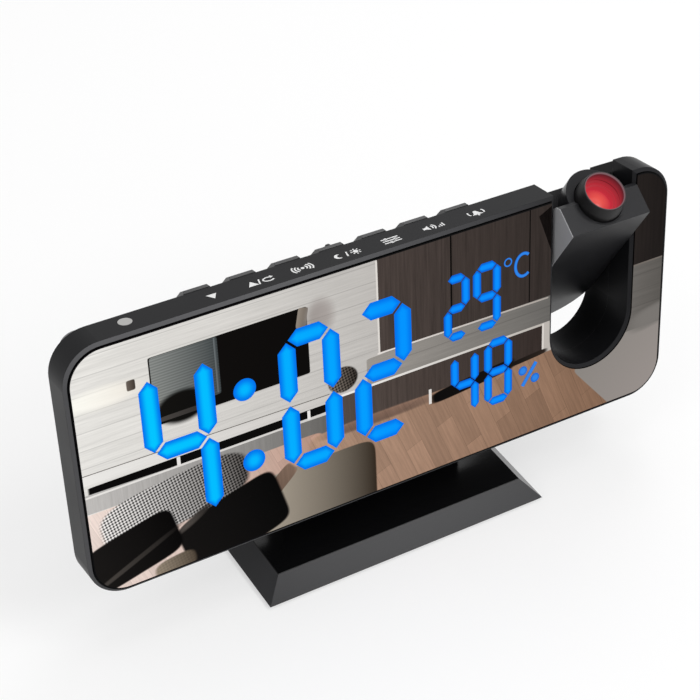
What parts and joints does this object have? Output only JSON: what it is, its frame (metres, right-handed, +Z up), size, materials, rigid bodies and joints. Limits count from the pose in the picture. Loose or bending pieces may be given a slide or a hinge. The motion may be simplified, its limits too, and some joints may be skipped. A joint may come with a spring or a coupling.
{
  "type": "projection alarm clock",
  "caption": "Free-standing mirror-faced alarm clock with a tilting lens arm in a notch, sloping keys along the top and a bevelled foot.",
  "frame": {"origin": "middle of the foot's underside, on the table", "axes": "+Z up, +X to the right along the width as seen from the front, front towards -Y"},
  "size_m": [0.187, 0.054, 0.0953],
  "materials": {
    "black_abs": "satin injection-moulded ABS",
    "key_black": "satin moulded ABS keys",
    "arm_black": "semi-gloss moulded ABS",
    "gloss_black": "polished black ABS",
    "barrel_black": "fine matt moulded nylon",
    "mirror": "half-silvered acrylic",
    "white_plastic": "white moulded polycarbonate",
    "blue_diffuser": "milky diffuser lit blue",
    "led_white": "surface-mount emitters",
    "circuit_board": "glass-epoxy board with green resist",
    "black_socket": "moulded nylon",
    "steel": "zinc-plated steel",
    "bronze": "sintered bronze",
    "grey_window": "smoked acrylic",
    "clear_resin": "clear epoxy",
    "foam_rubber": "closed-cell foam",
    "speaker_black": "pressed cone and steel basket",
    "lens_glass": "acrylic lens, lit red from behind",
    "lcd_glass": "liquid-crystal slide",
    "red_lamp": "red light-emitting diode",
    "rubber": "moulded rubber"
  },
  "bodies": {
    "root": {"front_frame": "black_abs", "mirror_plate": "mirror", "light_box": "white_plastic", "diffusers": "blue_diffuser", "display_board": "circuit_board", "leds": "led_white", "board_screws": "steel", "rear_shell": "black_abs", "housing_screws": "steel", "key_board": "circuit_board", "tact_switches": "black_socket", "sensor_window": "grey_window", "light_sensor": "clear_resin", "speaker_gasket": "foam_rubber", "speaker": "speaker_black", "battery_cup": "black_socket", "battery_contact": "steel", "coin_cell": "steel", "main_board": "circuit_board", "main_board_fixings": "steel", "power_socket": "black_socket", "usb_socket": "steel", "climate_sensor": "white_plastic", "pivot_bushes": "bronze", "foot_shell": "gloss_black", "foot_pad": "rubber", "foot_weight": "steel", "neck": "black_abs", "neck_screws": "steel", "foot_screws": "steel"},
    "projector": {"projector_case": "arm_black", "projector_cover": "arm_black", "projector_screws": "steel", "lens_barrel": "barrel_black", "condenser_lens": "lens_glass", "slide_display": "lcd_glass", "lamp_board": "circuit_board", "lamp": "red_lamp", "pivot_shafts": "steel", "spring_washers": "steel", "pivot_clips": "steel"},
    "focus_ring": {"focus_ring": "barrel_black"},
    "focus_lens": {"lens_cell": "barrel_black", "projection_lens": "lens_glass"},
    "battery_cap": {"battery_cap": "black_abs"},
    "key_down": {"key_down": "key_black"},
    "key_up": {"key_up": "key_black"},
    "key_radio": {"key_radio": "key_black"},
    "key_night": {"key_night": "key_black"},
    "key_set": {"key_set": "key_black"},
    "key_volume": {"key_volume": "key_black"},
    "key_alarm": {"key_alarm": "key_black"}
  },
  "joints": [
    {"name": "projector_tilt", "type": "hinge", "parent": "root", "child": "projector", "pos_m": [0.06665, 0.00134, 0.07335], "axis": [1, 0, 0], "range_deg": [-125, 54]},
    {"name": "focus_turn", "type": "hinge", "parent": "projector", "child": "focus_ring", "pos_m": [0.06665, 0.00003, 0.07272], "axis": [0, -0.4359, 0.9], "range_deg": [-150, 150]},
    {"name": "focus_slide", "type": "slide", "parent": "projector", "child": "focus_lens", "axis": [0, -0.4359, 0.9], "range_m": [-0.00062, 0.00062]},
    {"name": "battery_cap_turn", "type": "hinge", "parent": "root", "child": "battery_cap", "pos_m": [-0.05, 0.0084, 0.05407], "axis": [0, -0.9855, 0.1695], "range_deg": [0, 40]},
    {"name": "key_down_press", "type": "slide", "parent": "root", "child": "key_down", "axis": [0, -0.1695, -0.9855], "range_m": [0, 0.0005], "stiffness_N_per_m": 1500, "springref_m": -0.0003},
    {"name": "key_up_press", "type": "slide", "parent": "root", "child": "key_up", "axis": [0, -0.1695, -0.9855], "range_m": [0, 0.0005], "stiffness_N_per_m": 1500, "springref_m": -0.0003},
    {"name": "key_radio_press", "type": "slide", "parent": "root", "child": "key_radio", "axis": [0, -0.1695, -0.9855], "range_m": [0, 0.0005], "stiffness_N_per_m": 1500, "springref_m": -0.0003},
    {"name": "key_night_press", "type": "slide", "parent": "root", "child": "key_night", "axis": [0, -0.1695, -0.9855], "range_m": [0, 0.0005], "stiffness_N_per_m": 1500, "springref_m": -0.0003},
    {"name": "key_set_press", "type": "slide", "parent": "root", "child": "key_set", "axis": [0, -0.1695, -0.9855], "range_m": [0, 0.0005], "stiffness_N_per_m": 1500, "springref_m": -0.0003},
    {"name": "key_volume_press", "type": "slide", "parent": "root", "child": "key_volume", "axis": [0, -0.1695, -0.9855], "range_m": [0, 0.0005], "stiffness_N_per_m": 1500, "springref_m": -0.0003},
    {"name": "key_alarm_press", "type": "slide", "parent": "root", "child": "key_alarm", "axis": [0, -0.1695, -0.9855], "range_m": [0, 0.0005], "stiffness_N_per_m": 1500, "springref_m": -0.0003}
  ],
  "couplings": [
    {"joint": "focus_turn", "follows": "focus_slide", "rad_per_m": 4188.8}
  ]
}
